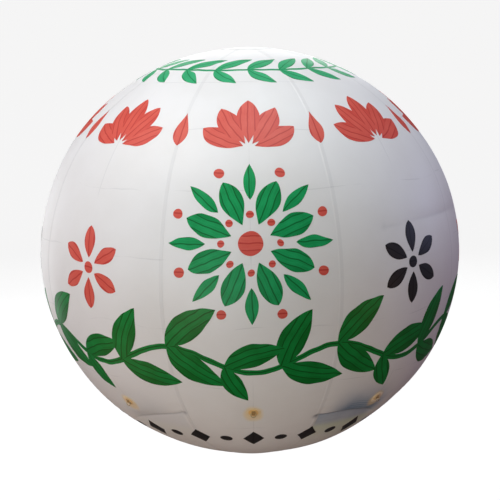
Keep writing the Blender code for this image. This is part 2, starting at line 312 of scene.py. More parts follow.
def makePadMaterial(look):
    # Yellow coated fabric over a fine scrim, amber over the glued doubler, grimy at the webbing
    constants = {"Specular IOR Level": 0.4, "Sheen Weight": look["dust"], "Sheen Roughness": 0.45}
    wire, finish = startMaterial("yellow_pad_fabric", constants)
    _, x, y = splitUv(wire, "padUv")
    radius = wire.maths("SQRT", x * x + y * y)
    stain = noise(wire, objectPlace(wire), 34.0, 4.0)
    colour = stain.rise(0.4, 0.7).blend(look["rim"], look["worn"])
    colour = (radius + (stain - 0.5) * 0.014).rise(*look["amberEdge"]).blend(colour, look["amber"])
    grime = radius.rise(*look["grimeEdge"]) * stain.rise(0.35, 0.70)
    colour = (grime * 0.5).blend(colour, look["grime"])
    scrim = x.wave(look["scrim"]) * y.wave(look["scrim"])
    return finish(colour, 0.42 + stain * 0.2, scrim * 0.00003 + stain * 0.0004)


webbingFinish = {
    "brown": rgb(0.33, 0.185, 0.060), "light": rgb(0.52, 0.32, 0.115),
    "pick": 0.0016, "end": 0.0012,      # pitches of the weave, along and across
}


def makeWebbingMaterial(look):
    # Flat weave: raised picks across and ends along, out of step from row to row; the raised weave is
    # painted lighter as a painted highlight
    wire, finish = startMaterial("brown_weave", {"Specular IOR Level": 0.25, "Sheen Weight": 0.25})
    uv, along, across = splitUv(wire, "weaveUv")
    weave = along.wave(look["pick"]) * across.wave(look["end"]) * 0.5 + 0.5
    fuzz = noise(wire, uv, 900.0, 3.0)
    fade = noise(wire, uv, 60.0, 3.0)
    colour = (weave * 0.6 + fade * 0.4).blend(look["brown"], look["light"])
    return finish(colour, 0.78 + fuzz * 0.15, weave * 0.00035 + fuzz * 0.00010)


threadFinish = {"dark": rgb(0.36, 0.27, 0.15), "pale": rgb(0.56, 0.45, 0.28)}


def makeThreadMaterial(look):
    # Sewing thread, with a painted highlight: the strands that stand out are paler
    wire, finish = startMaterial("pale_thread", {"Specular IOR Level": 0.3})
    twist = noise(wire, objectPlace(wire), 1400.0)
    return finish(twist.blend(look["dark"], look["pale"]), 0.6 + twist * 0.2, twist * 0.0001)


steelFinish = {
    "bright": rgb(0.66, 0.56, 0.35), "dull": rgb(0.43, 0.35, 0.21),
    "rust": rgb(0.20, 0.085, 0.035),
}


def makeSteelMaterial(look):
    # Yellow zinc plating, clouded and spangled, with some rust
    wire, finish = startMaterial("zinc_steel", {})
    place = objectPlace(wire)
    spangle = wire.add("TexVoronoi", {"feature": "F1"}, {"Vector": place, "Scale": 420.0})
    cloud = noise(wire, place, 90.0, 4.0)
    rust = noise(wire, place, 55.0, 5.0, 0.65).rise(0.60, 0.72)
    colour = rust.blend((spangle * 0.5 + cloud * 0.5).blend(look["bright"], look["dull"]), look["rust"])
    roughness = 0.26 + cloud * 0.16 + rust * 0.4
    return finish(colour, roughness, rust * 0.0001 + cloud * 0.00006, metallic=1.0 - rust * 0.9)


plasticFinish = {"pale": rgb(0.66, 0.66, 0.67), "yellowed": rgb(0.60, 0.57, 0.48)}


def makePlasticMaterial(look):
    # Pale plastic, a little yellowed and scuffed
    wire, finish = startMaterial("moulded_plastic", {"Specular IOR Level": 0.5})
    place = objectPlace(wire)
    flow = noise(wire, place, 22.0, 3.0)
    texture = noise(wire, place, 1600.0)
    scuffs = noise(wire, place, 240.0, 5.0, 0.7).rise(0.58, 0.70)
    colour = (flow * 0.5 + scuffs * 0.4).blend(look["pale"], look["yellowed"])
    return finish(colour, 0.40 + scuffs * 0.25 + flow * 0.06, texture * 0.00003 + scuffs * 0.00004)


filmMaterial = makeFilmMaterial(filmFinish)
paints = {name: makePaintMaterial(name, tones) for name, tones in paintFinish.items()}
padMaterial = makePadMaterial(padFinish)
webbingMaterial = makeWebbingMaterial(webbingFinish)
threadMaterial = makeThreadMaterial(threadFinish)
steelMaterial = makeSteelMaterial(steelFinish)
plasticMaterial = makePlasticMaterial(plasticFinish)
print("materials made")


# Meshes from arrays

def newPiece(name, shape, material, uvName=None, values=None, sharp=35.0):
    # A mesh object from a shape, which is (points, quads, uv) with a uv for each point, and any named values
    points, quads, uv = shape
    mesh = bpy.data.meshes.new(name)
    mesh.vertices.add(len(points))
    mesh.vertices.foreach_set("co", np.asarray(points, np.float32).ravel())
    mesh.loops.add(quads.size)
    mesh.loops.foreach_set("vertex_index", quads.astype(np.int32).ravel())
    mesh.polygons.add(len(quads))
    mesh.polygons.foreach_set("loop_start", np.arange(0, quads.size, 4, dtype=np.int32))
    mesh.update(calc_edges=True)
    if uvName:
        layer = mesh.uv_layers.new(name=uvName)
        layer.data.foreach_set("uv", np.asarray(uv, np.float32)[quads.ravel()].ravel())
    for key, value in (values or {}).items():
        attribute = mesh.attributes.new(key, "FLOAT", "POINT")
        attribute.data.foreach_set("value", np.asarray(value, np.float32).ravel())
    mesh.materials.append(material)
    mesh.shade_smooth()
    mesh.set_sharp_from_angle(angle=math.radians(sharp))
    piece = bpy.data.objects.new(name, mesh)
    bpy.context.scene.collection.objects.link(piece)
    return piece


def fit(piece, body, slot, *nodes):
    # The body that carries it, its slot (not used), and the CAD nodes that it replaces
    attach(piece, body)
    if nodes:
        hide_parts(*nodes)


def gridQuads(rows, columns, loopRows=False, loopColumns=False):
    # Quads between neighbours of a rows by columns grid, whose rows or columns may close on themselves
    index = np.arange(rows * columns).reshape(rows, columns)
    if loopRows:
        index = np.vstack([index, index[:1]])
    if loopColumns:
        index = np.hstack([index, index[:, :1]])
    corners = [index[:-1, :-1], index[:-1, 1:], index[1:, 1:], index[1:, :-1]]
    return np.stack(corners, axis=-1).reshape(-1, 4)


def slab(outer, inner, uv, loopRows=False):
    # A closed sheet: the outer grid, the inner grid turned round, and a strip along each open edge.
    # Columns run to the right and rows run up, seen from outside.
    rows, columns = outer.shape[:2]
    count = rows * columns
    index = np.arange(count).reshape(rows, columns)
    faces = gridQuads(rows, columns, loopRows)
    parts = [faces, faces[:, ::-1] + count]
    edges = [index[:, 0][::-1], index[:, -1]]
    if loopRows:
        edges = [np.append(edge, edge[0]) for edge in edges]
    else:
        edges += [index[0], index[-1][::-1]]
    for edge in edges:
        parts.append(np.stack([edge[:-1], edge[:-1] + count, edge[1:] + count, edge[1:]], axis=-1))
    points = np.concatenate([outer.reshape(-1, 3), inner.reshape(-1, 3)])
    return points, np.concatenate(parts), np.concatenate([uv.reshape(-1, 2)] * 2)


def joined(parts):
    # Several (points, quads, uv) as one
    points, quads, uvs = zip(*parts)
    starts = np.cumsum([0] + [len(group) for group in points[:-1]])
    quads = [group + start for group, start in zip(quads, starts)]
    return np.concatenate(points), np.concatenate(quads), np.concatenate(uvs)


def smooth(x, low, high):
    # 0 at low, 1 at high, 3t^2 - 2t^3 between them
    t = np.clip((x - low) / (high - low), 0.0, 1.0)
    return t * t * (3.0 - 2.0 * t)


def turnAngles(count):
    # Evenly spaced angles of one full turn, in radians
    return np.linspace(0.0, 2.0 * math.pi, count, endpoint=False)


def unit(vectors):
    # Each vector over its length
    return vectors / np.linalg.norm(vectors, axis=-1, keepdims=True)


def beside(vectors):
    # (x, y) turned to the right by a right angle: (y, -x)
    return np.stack([vectors[..., 1], -vectors[..., 0]], axis=-1)


# The film's surface: a flattened sphere, moved out or in by what pressure, welds and folds do to it

envelope = {
    "equatorRadius": 1.525,
    "poleRadius": 1.480,
    "endLatitude": 86.0,
    "thickness": 0.001,
    "lap": 0.0125,              # half the width of the lap weld
    "lapShare": 0.125,          # near the poles it is this share of half a gore's width
    "leastLap": 0.0001,
    "lapRise": 0.0012,
    "lapRamp": (-1.5, -1.05),   # where the upper gore climbs on to the next one, in laps past the seam
    "lobeHeight": 0.0055,       # how far a gore's middle stands out past its seams
    "valleyDepth": 0.0023,
    "valleyWidth": 0.050,
    "puckerHeight": 0.0011,
    "puckerPitch": 0.085,
    "puckerDrift": 2.2,         # radians by which puckers stray from an even pitch
    "puckerReach": 0.085,
    "puckerFade": (0.05, 0.25), # girth, as a share of the equator's, over which they fade in from the poles
    "swell": 0.0030,            # broad unevenness of the inflated film
    "swellLength": 0.75,
    "swellFade": (0.04, 0.3),
    "padLatitude": -37.5,
    "padLevel": -0.0016,        # where the tie pads hold the film
    "padReach": (0.060, 0.170),
}
metresPerDegree = math.radians(1.0) * envelope["equatorRadius"]

# Folds in the film, most of them pulled by the tie pads. Start, middle and end as (azimuth, latitude), then
# how deep the valley is, how deep the sharp line at its bottom, and how much painted shade lies beside it
creases = [
    ((22.1, -41.4), (35.0, -42.0), (55.0, -46.2), 0.021, 0.0060, 0.95),
    ((36.0, 13.0), (58.0, 13.7), (88.0, 12.4), 0.007, 0.0008, 0.0),
    ((-23.2, -38.9), (-36.0, -42.3), (-55.0, -47.4), 0.016, 0.0030, 0.16),
    ((67.0, -43.0), (79.0, -41.6), (98.0, -44.8), 0.008, 0.0030, 0.20),
    ((112.4, -40.2), (124.0, -42.4), (142.0, -45.6), 0.013, 0.0042, 0.42),
    ((157.6, -42.6), (170.0, -43.2), (186.0, -46.0), 0.006, 0.0026, 0.15),
    ((202.4, -39.6), (214.0, -41.8), (233.0, -45.4), 0.010, 0.0036, 0.34),
    ((247.4, -42.2), (259.0, -42.8), (277.0, -46.4), 0.007, 0.0030, 0.22),
]
creaseForm = {
    "above": 0.060,             # how far the valley's sides reach above and below the line, in metres
    "below": 0.150,
    "bottom": 0.006,
    "groove": 0.0075,
    "darkGroove": 0.0060,       # a groove this deep gets the darkest painted shade
    "knot": 0.022,
    "begin": (-0.6, 1.6),       # degrees past its start over which a fold begins
    "fade": 9.0,                # degrees over which it ends
    "shallow": 0.35,            # share of its depth that it has at its start
    "shadeReach": (0.20, 0.30),  # above and below the line
    "shadeBelow": 0.62,          # how much of the painted shade lies below the line
    "shadeMost": 0.94,
    "ripples": (33.0, 49.0),    # azimuths of the fine ripples beside the first fold
    "rippleEase": (5.0, 3.0),   # degrees over which they begin and end
    "rippleBand": (0.012, 0.150),
    "ripplePitch": 0.026,
    "rippleHeight": 0.0022,
    "rippleShade": 0.24,
}


def ballPoint(azimuth, latitude, lift):
    # x = (a + lift) cos(lat) sin(az), y = -(a + lift) cos(lat) cos(az), z = (b + lift) sin(lat)
    az, lat = np.radians(azimuth), np.radians(latitude)
    wide = (envelope["equatorRadius"] + lift) * np.cos(lat)
    high = (envelope["poleRadius"] + lift) * np.sin(lat)
    return np.stack([wide * np.sin(az), -wide * np.cos(az), high], axis=-1)


def narrowing(latitude):
    # The girth at a latitude as a share of the equator's, which is its cosine
    return np.cos(np.radians(latitude))


def wrapped(degrees, turn=360.0):
    # The same direction from half a turn below 0 to half a turn above it
    return (degrees + turn / 2.0) % turn - turn / 2.0


def waves(points, length, count, seed):
    # Sum of plane waves of about one length, in random directions and phases, between about -1 and 1
    random = np.random.default_rng(seed)
    total = np.zeros(points.shape[:-1])
    for _ in range(count):
        direction = random.normal(size=3)
        direction *= 2.0 * math.pi / (length * random.uniform(0.75, 1.3) * np.linalg.norm(direction))
        total += np.sin(points @ direction + random.uniform(0.0, 2.0 * math.pi))
    return total / math.sqrt(count)


def seamSide(azimuth, latitude):
    # Metres past the nearest seam, counted to the right: negative before it and positive after it
    return wrapped(azimuth - goreAngle / 2.0, goreAngle) * metresPerDegree * narrowing(latitude)


def creaseShape(azimuth, latitude):
    # Each fold follows a parabola of latitude over azimuth. Its valley goes as exp(-s / reach) to both
    # sides, with a narrow groove at the bottom and a knot at its start. Returns the lift, and as named
    # values the painted shade in the lines and the painted shade beside them.
    form = creaseForm
    lift, shadeAndDirt, foldShading = (np.zeros_like(latitude) for _ in range(3))
    for start, middle, end, valley, groove, foldShade in creases:
        curve = np.polyfit(*zip(start, middle, end), 2)
        span = abs(end[0] - start[0])
        turn = wrapped(azimuth - start[0])
        past = turn * math.copysign(1.0, end[0] - start[0])
        below = (np.polyval(curve, start[0] + turn) - latitude) * metresPerDegree
        window = smooth(past, *form["begin"]) * (1.0 - smooth(past, span - form["fade"], span))
        deeper = form["shallow"] + (1.0 - form["shallow"]) * smooth(past, 2.0, 0.5 * span)
        reach = np.where(below < 0.0, form["above"], form["below"])
        away = np.sqrt(below ** 2 + form["bottom"] ** 2)
        slope = np.exp(-away / reach) * (1.0 - smooth(away, 2.0 * reach, 4.0 * reach))
        line = np.exp(-(below / form["groove"]) ** 2) * window
        east = past * metresPerDegree * narrowing(latitude)
        knot = np.exp(-(east ** 2 + below ** 2) / form["knot"] ** 2)
        lift -= valley * window * deeper * slope + groove * (line + 1.1 * knot)
        # Painted shade in the groove and at the knot
        shadeAndDirt = np.maximum(shadeAndDirt, groove / form["darkGroove"] * np.maximum(0.9 * line, knot))
        # The painted shade starts slowly above the line and at once below it
        slowly, atOnce = smooth(past, 1.0, 0.42 * span), form["shadeBelow"] * smooth(past, 0.3, 1.3)
        onset = np.where(below < 0.0, slowly, atOnce)
        spread = np.exp(-(below / np.where(below < 0.0, *form["shadeReach"])) ** 2)
        foldShading = np.maximum(foldShading, foldShade * window * onset * spread)
    above = (latitude - np.polyval(np.polyfit(*zip(*creases[0][:3]), 2), azimuth)) * metresPerDegree
    (left, right), (rising, falling), (low, high) = form["ripples"], form["rippleEase"], form["rippleBand"]
    inside = smooth(azimuth, left, left + rising) * (1.0 - smooth(azimuth, right - falling, right))
    inside = inside * smooth(above, 0.0, low) * (1.0 - smooth(above, 0.6 * high, high))
    ripple = inside * np.sin(2.0 * math.pi * above / form["ripplePitch"])
    # Painted light and shade across the fine ripples: where they stand out the painted shade is less
    foldShading = np.clip(foldShading - form["rippleShade"] * ripple, 0.0, form["shadeMost"])
    return lift + form["rippleHeight"] * ripple, {"crease": shadeAndDirt, "foldShade": foldShading}


def filmShape(azimuth, latitude):
    # Lobes between the seams, a valley and puckers at each seam, broad swell, creases, and a level seat at
    # each pad. Returns the lift and the creases' named values.
    e = envelope
    points = ballPoint(azimuth, latitude, 0.0)
    narrow = narrowing(latitude)
    seam = np.abs(seamSide(azimuth, latitude))
    lift = e["lobeHeight"] * (0.5 * np.cos(np.radians(goreCount * azimuth)) - 0.05) * narrow ** 0.5
    lift -= e["valleyDepth"] * np.exp(-(seam / e["valleyWidth"]) ** 2) * narrow ** 0.7
    drift = e["puckerDrift"] * waves(points, length=0.55, count=6, seed=3)
    uneven = smooth(waves(points, length=0.5, count=7, seed=5), -0.5, 1.2)
    pucker = np.sin(2.0 * math.pi * latitude * metresPerDegree / e["puckerPitch"] + drift) * uneven
    pucker = pucker * np.exp(-seam / e["puckerReach"]) * smooth(narrow, *e["puckerFade"])
    swell = waves(points, e["swellLength"], count=9, seed=11) * smooth(narrow, *e["swellFade"])
    lift += e["puckerHeight"] * pucker + e["swell"] * swell
    creaseLift, marks = creaseShape(wrapped(azimuth), latitude)
    east = wrapped(azimuth, goreAngle) * metresPerDegree * narrow
    north = (latitude - e["padLatitude"]) * metresPerDegree
    seat = 1.0 - smooth(np.hypot(east, north), *e["padReach"])
    return (lift + creaseLift) * (1.0 - seat) + e["padLevel"] * seat, marks


def halfWidth(latitude):
    # Half the width of a gore between its seams
    return metresPerDegree * narrowing(latitude) * goreAngle / 2.0


def lapWidth(latitude):
    # The lap weld narrows towards the poles
    narrow = np.maximum(halfWidth(latitude) * envelope["lapShare"], envelope["leastLap"])
    return np.minimum(envelope["lap"], narrow)


goreGrid = {
    # Columns near a seam, in laps past it, and how many fill the middle
    "seamColumns": (1.0, 0.9, 0.4, 0.0, -0.5, -1.05, -1.25, -1.5, -1.9, -2.6, -3.6, -5.0),
    "middleColumns": 32,
    "coarseStep": 0.019, "fineStep": 0.0058,
    "fineZone": (-50.5, -33.5),         # latitudes where the tie pads pull the film
}


def rowLatitudes(grid):
    # Rows at the coarse step, and at the fine step in the fine zone
    low, high = grid["fineZone"]
    end, coarse = envelope["endLatitude"], grid["coarseStep"]
    rows = []
    for a, b, step in ((-end, low, coarse), (low, high, grid["fineStep"]), (high, end, coarse)):
        rows.append(np.linspace(a, b, round((b - a) * metresPerDegree / step), endpoint=False))
    return np.concatenate(rows + [[end]])


def makeGore(number, grid):
    # Grid of latitude and distance across. The right edge laps over the next gore, the left edge lies under.
    e = envelope
    latitude = rowLatitudes(grid)[:, None]
    width, lap = halfWidth(latitude), lapWidth(latitude)
    columns = np.array(grid["seamColumns"])
    left = -width - lap * columns
    right = width + lap * columns[::-1]
    middle = np.linspace(0.0, 1.0, grid["middleColumns"] + 2)[1:-1]
    across = np.hstack([left, left[:, -1:] + (right[:, :1] - left[:, -1:]) * middle, right])
    latitude = np.broadcast_to(latitude, across.shape)
    azimuth = (number - 1) * goreAngle + across / (metresPerDegree * narrowing(latitude))
    lift, marks = filmShape(azimuth, latitude)
    lift = lift + e["lapRise"] * smooth((across - width) / lap, *e["lapRamp"])
    outer = ballPoint(azimuth, latitude, lift)
    inner = ballPoint(azimuth, latitude, lift - e["thickness"])
    along = latitude * metresPerDegree
    shape = slab(outer, inner, np.stack([across, along], axis=-1))
    marks["seamDistance"] = np.abs(np.abs(across) - width)
    values = {name: np.tile(value.ravel(), 2) for name, value in marks.items()}
    gore = newPiece(f"gore_film_{number}", shape, filmMaterial, "filmUv", values, sharp=50.0)
    fit(gore, "envelope", "white_pvc", f"gore_{number}")
    spread = across[:, -1] - across[:, 0]
    area = float(np.sum(np.diff(along[:, 0]) * (spread[1:] + spread[:-1]) / 2.0))


for number in range(1, goreCount + 1):
    makeGore(number, goreGrid)
print("gores made")


# Painted ornament: brush marks that lie on the film

paintLayer = {
    "lift": 0.0008, "coat": 0.00022, "foot": -0.0006,       # heights of the marks over the film
    "onLap": (-2.3, -1.1), "offLap": (1.1, 2.1),            # ramps over a lap weld, in laps past the seam
    "step": 0.015, "columns": 3, "leafRows": 8,             # the fewest columns, and rows of a leaf
    "smallColumns": 7,                                      # of a dot or diamond
    "tip": 0.0006,
    "waver": 0.0021, "waverLength": 0.12,                   # how far a painted edge strays, and how often
}


def paintedSurface(azimuth, latitude, lift):
    # The film with a gentle ramp over each lap, so that paint lies on both gores
    shape, _ = filmShape(azimuth, latitude)
    past = seamSide(azimuth, latitude) / lapWidth(latitude)
    lap = smooth(past, *paintLayer["onLap"]) * (1.0 - smooth(past, *paintLayer["offLap"]))
    return ballPoint(azimuth, latitude, shape + envelope["lapRise"] * lap + lift)


def brushMark(spine, halfWidths, layer=0, loop=False, columns=None):
    # A ribbon along spine points (azimuth, latitude), halfWidths metres to each side of it. Marks that cross
    # each other have different layers.
    look = paintLayer
    halfWidths = np.broadcast_to(halfWidths, len(spine))[:, None]
    if loop:
        ahead = np.roll(spine, -1, 0) - np.roll(spine, 1, 0)
        ahead[:, 0] = wrapped(ahead[:, 0])
        ahead = ahead / 2.0
    else:
        ahead = np.gradient(spine, axis=0)
    scale = metresPerDegree * np.stack([narrowing(spine[:, 1]), np.ones(len(spine))], axis=-1)
    length = np.linalg.norm(ahead * scale, axis=1, keepdims=True)
    side = beside(unit(ahead * scale))
    if columns is None:
        columns = max(look["columns"], round(2.0 * halfWidths.max() / look["step"]) + 1)
    across = np.linspace(-1.0, 1.0, columns) * halfWidths
    azimuth = spine[:, :1] + across * side[:, :1] / scale[:, :1]
    latitude = spine[:, 1:] + across * side[:, 1:] / scale[:, 1:]
    plain = ballPoint(azimuth, latitude, 0.0)
    east, north = (waves(plain, look["waverLength"], count=5, seed=seed) for seed in (31, 32))
    azimuth = azimuth + look["waver"] * east / scale[:, :1]
    latitude = latitude + look["waver"] * north / scale[:, 1:]
    along = np.broadcast_to(np.cumsum(length, axis=0), across.shape)
    top = paintedSurface(azimuth, latitude, look["lift"] + layer * look["coat"])
    bottom = paintedSurface(azimuth, latitude, look["foot"])
    return slab(top, bottom, np.stack([along, across], axis=-1), loop)


def markAround(middle, right, up, half, layer=0, columns=paintLayer["smallColumns"]):
    # A mark with its spine in metres right and up of a middle (azimuth, latitude)
    latitude = middle[1] + up / metresPerDegree
    azimuth = middle[0] + right / (metresPerDegree * narrowing(latitude))
    spine = np.stack([azimuth, latitude], axis=-1)
    return brushMark(spine, np.maximum(half, paintLayer["tip"]), layer, columns=columns)


def leafMark(middle, foot, angle, size, form, bend=0.0, layer=0):
    # A leaf or petal of a length and width. Its spine is a parabola from the foot at an angle, bent aside by
    # a share of its length. Its width goes as sin(pi t^belly)^fullness, with form = (belly, fullness).
    length, width = size
    belly, fullness = form
    t = np.linspace(0.0, 1.0, max(paintLayer["leafRows"], round(length / paintLayer["step"])))
    a = math.radians(angle)
    along, aside = t * length, bend * length * t * t
    right = foot[0] + along * math.cos(a) - aside * math.sin(a)
    up = foot[1] + along * math.sin(a) + aside * math.cos(a)
    half = 0.5 * width * np.sin(math.pi * t ** belly) ** fullness
    return markAround(middle, right, up, half, layer, None)


def dotMark(middle, centre, radius, points=12):
    # A round dot: half width sqrt(1 - t^2)
    t = np.cos(np.linspace(math.pi, 0.0, points))
    half = radius * np.sqrt(np.maximum(1.0 - t * t, 0.0))
    return markAround(middle, centre[0] + radius * t, np.full(points, centre[1]), half)


def diamondMark(middle, width, height, points=13):
    # Half width (1 - |t|) w / 2 along a straight spine
    t = np.linspace(-1.0, 1.0, points)
    return markAround(middle, np.zeros(points), t * height / 2.0, (1.0 - np.abs(t)) * width / 2.0)


def polar(radius, angle):
    # (r cos a, r sin a), with the angle in degrees
    return radius * math.cos(math.radians(angle)), radius * math.sin(math.radians(angle))


def petalMarks(middle, count, first, foot, size, form):
    # Petals or leaves all round a middle, from the first one's angle on, each pointing outwards
    angles = [first + i * 360.0 / count for i in range(count)]
    return [leafMark(middle, polar(foot, angle), angle, size, form) for angle in angles]


def dotMarks(middle, count, first, place):
    # Dots all round a middle, with place = (distance, radius)
    distance, radius = place
    return [dotMark(middle, polar(distance, first + i * 360.0 / count), radius) for i in range(count)]


def paintPiece(name, colour, marks, tone=None):
    # All marks of a piece in one mesh, in the paint of its colour unless a tone names another paint
    fit(newPiece(name, joined(marks), paints[tone or colour], "strokeUv"), "envelope", colour + "_paint")


garland = {
    "tone": "deepGreen",
    "latitude": -19.5, "swing": 3.6, "waves": 8,
    "stem": 0.021, "stemStep": 0.75, "stemColumns": 4,
    "pairs": 24, "first": 0.5, "seed": 21,      # pairs of leaves, and steps from the front to the first
    "leaf": (0.43, 0.185), "form": (0.92, 0.85), "bend": 0.22,
    "angles": (50.0, 56.0), "sizes": (0.92, 1.06),
    "upperCoats": 2,                            # coats that an upper leaf lies over a lower one
    "shortLeaf": 0.74,                          # size of the leaves that point at a tie pad
    "padSpan": (-12.0, -3.0),                   # where those grow, in degrees from the pad
}
crownWreath = {
    # The lighter green stands in for glare near the top: a painted highlight
    "tone": "glareGreen",
    "latitude": 65.0, "swing": 0.0, "waves": 1,
    "stem": 0.011, "stemStep": 1.5, "stemColumns": 3,
    "pairs": 18, "first": 0.0, "seed": 22,
    "leaf": (0.26, 0.095), "form": (0.95, 0.9), "bend": 0.2,
    "angles": (52.0, 52.0), "sizes": (1.0, 1.0),
    "upperCoats": 0,
    "shortLeaf": 1.0,
    "padSpan": (0.0, 0.0),
}


def makeGarland(name, look):
    # A stem round the balloon, waving as a cosine, with pairs of leaves
    wave = math.radians(1.0) * look["waves"]
    azimuth = np.arange(0.0, 360.0, look["stemStep"])
    stem = np.stack([azimuth, look["latitude"] - look["swing"] * np.cos(azimuth * wave)], axis=-1)
    marks = [brushMark(stem, look["stem"], loop=True, columns=look["stemColumns"])]
    random = np.random.default_rng(look["seed"])
    low, high = look["padSpan"]
    for i in range(look["pairs"]):
        a = (i + look["first"]) * 360.0 / look["pairs"]
        middle = (a, look["latitude"] - look["swing"] * math.cos(a * wave))
        lean = math.degrees(math.atan(look["swing"] * wave * math.sin(a * wave)))
        for side in (1.0, -1.0):
            size = random.uniform(*look["sizes"])
            if side < 0.0 and (a - low) % goreAngle < high - low:
                size = look["shortLeaf"]
            angle = lean + side * random.uniform(*look["angles"])
            leaf = [size * value for value in look["leaf"]]
            bend, layer = -side * look["bend"], 1 + i % 2 + (look["upperCoats"] if side > 0.0 else 0)
            marks.append(leafMark(middle, (0.0, 0.0), angle, leaf, look["form"], bend, layer))
    paintPiece(name, "green", marks, look["tone"])


blossoms = {
    "latitude": 41.5,
    "petal": (0.37, 0.15), "form": (1.25, 0.8), "bend": 0.16,
    "fan": (0.0, 36.0, 70.0),                   # degrees of the petals to both sides of straight up
    "shorter": 0.0028,                          # how much shorter a petal is for each of those degrees
    "foot": 0.04, "footDrop": 0.15,
    "drop": (0.27, 0.100), "dropForm": (1.5, 0.8), "dropTop": 0.14,
}


def makeBlossomRing(look):
    # One open blossom on each gore, five petals fanned upwards, with a drop between neighbours
    marks = []
    length, width = look["petal"]
    for i in range(goreCount):
        middle = (i * goreAngle, look["latitude"])
        for k, turn in enumerate(look["fan"]):
            for side in ((-1.0, 1.0) if turn else (0.0,)):
                angle = 90.0 + side * turn
                x, y = polar(look["foot"], angle)
                size = (length * (1.0 - look["shorter"] * turn), width)
                foot, bend = (x, y - look["footDrop"]), -side * look["bend"]
                marks.append(leafMark(middle, foot, angle, size, look["form"], bend, 3 - k))
        between = (middle[0] + goreAngle / 2.0, look["latitude"])
        marks.append(leafMark(between, (0.0, look["dropTop"]), -90.0, look["drop"], look["dropForm"]))
    paintPiece("blossom_ring", "red", marks)


rosette = {
    "azimuths": (0.0, 180.0), "latitude": 11.0, "petals": 8,
    "middle": 0.080,
    # Distance from the middle, size and form of the round petals and of the pointed leaves between them
    "petal": (0.135, (0.31, 0.150), (1.2, 0.75)),
    "leaf": (0.29, (0.25, 0.085), (0.9, 0.9)),
    # Distance and radius of the two rings of dots
    "outerDots": (0.51, 0.034), "innerDots": (0.19, 0.024),
}


def makeRosettes(look):
    # Front and back: a red middle, green petals, pointed leaves between them and two rings of red dots
    green, red = [], []
    count = look["petals"]
    between = 180.0 / count
    for azimuth in look["azimuths"]:
        middle = (azimuth, look["latitude"])
        green += petalMarks(middle, count, between, *look["petal"])
        green += petalMarks(middle, count, 0.0, *look["leaf"])
        red.append(dotMark(middle, (0.0, 0.0), look["middle"], 20))
        red += dotMarks(middle, count, between, look["outerDots"])
        red += dotMarks(middle, count, 0.0, look["innerDots"])
    paintPiece("rosette_leaves", "green", green)
    paintPiece("rosette_dots", "red", red)


sideFlower = {
    "latitude": 3.0, "petals": 6, "middle": 0.040,
    "petal": (0.068, (0.22, 0.105), (1.2, 0.7)),        # distance from the middle, size and form
    "colours": (None, "black", "red", "black", None, "red", "black", "red"),        # for each gore
}


def makeSideFlowers(look):
    # Small flowers on the gores that have no rosette
    for paint in ("red", "black"):
        marks = []
        for i, colour in enumerate(look["colours"]):
            if colour == paint:
                middle = (i * goreAngle, look["latitude"])
                marks.append(dotMark(middle, (0.0, 0.0), look["middle"], 14))
                marks += petalMarks(middle, look["petals"], 90.0, *look["petal"])
        paintPiece("side_flowers_" + paint, paint, marks)


diamondRow = {"latitude": -51.0, "count": 32, "width": 0.145, "height": 0.225, "dot": 0.042}


def makeDiamondRow(look):
    # Diamonds and dots by turns round the balloon
    marks = []
    for i in range(look["count"]):
        middle = (i * 360.0 / look["count"], look["latitude"])
        if i % 2:
            marks.append(dotMark(middle, (0.0, 0.0), look["dot"]))
        else:
            marks.append(diamondMark(middle, look["width"], look["height"]))
    paintPiece("diamond_row", "black", marks)


makeGarland("leaf_garland", garland)
makeGarland("crown_wreath", crownWreath)
makeBlossomRing(blossoms)
makeRosettes(rosette)
makeSideFlowers(sideFlower)
makeDiamondRow(diamondRow)
print("paint made")


# Tubes and turned shapes: rings of points, one after another

def capQuads(ring):
    # Quads from side to side of an even ring, which close it like rungs
    n = len(ring)
    i = np.arange(n // 2 - 1)
    return np.stack([ring[i], ring[i + 1], ring[n - 2 - i], ring[n - 1 - i]], axis=-1)


def tube(points, uv=None, loopRows=False):
    # points (rows, columns, 3): each row is a closed ring, counter-clockwise seen against the way the rows
    # go. The ends are capped, unless the rows close on themselves.
    rows, columns = points.shape[:2]
    index = np.arange(rows * columns).reshape(rows, columns)
    quads = [gridQuads(rows, columns, loopRows, True)]
    if not loopRows:
        quads += [capQuads(index[0][::-1]), capQuads(index[-1])]
    flatUv = np.zeros((rows * columns, 2)) if uv is None else uv.reshape(-1, 2)
    return points.reshape(-1, 3), np.concatenate(quads), flatUv


def turned(profile, steps, axis=1.0):
    # (radius, height) points turned about Z: x = r sin(az), y = -r cos(az). They run from the start of the
    # axis to its end on the outside; axis -1 is for a piece that faces down.
    profile = np.asarray(profile, float)
    azimuth = axis * turnAngles(steps)
    r, z = profile[:, :1], np.broadcast_to(profile[:, 1:], (len(profile), steps))
    return np.stack([r * np.sin(azimuth), -r * np.cos(azimuth), z], axis=-1)


def rounded(points, times):
    # Corner cutting: each side keeps its points at a quarter and three quarters, and the ends stay
    for _ in range(times):
        near = 0.75 * points[:-1] + 0.25 * points[1:]
        far = 0.25 * points[:-1] + 0.75 * points[1:]
        cut = np.stack([near, far], axis=1).reshape(-1, points.shape[1])
        points = np.vstack([points[:1], cut[1:-1], points[-1:]])
    return points


def superellipse(width, height, power, count):
    # x = w/2 |cos|^p, y = h/2 |sin|^p, with their signs
    a = turnAngles(count) + math.pi / count
    c, s = np.cos(a), np.sin(a)
    x = 0.5 * width * np.sign(c) * np.abs(c) ** power
    y = 0.5 * height * np.sign(s) * np.abs(s) ** power
    return np.stack([x, y], axis=-1)


def jointOf(node):
    # The joint that moves a node
    return next(joint for joint in frame["joints"] if joint["child"] == node)


# Tie points: pad, webbing, stitches and ring, in a frame of east, up and out at each pad

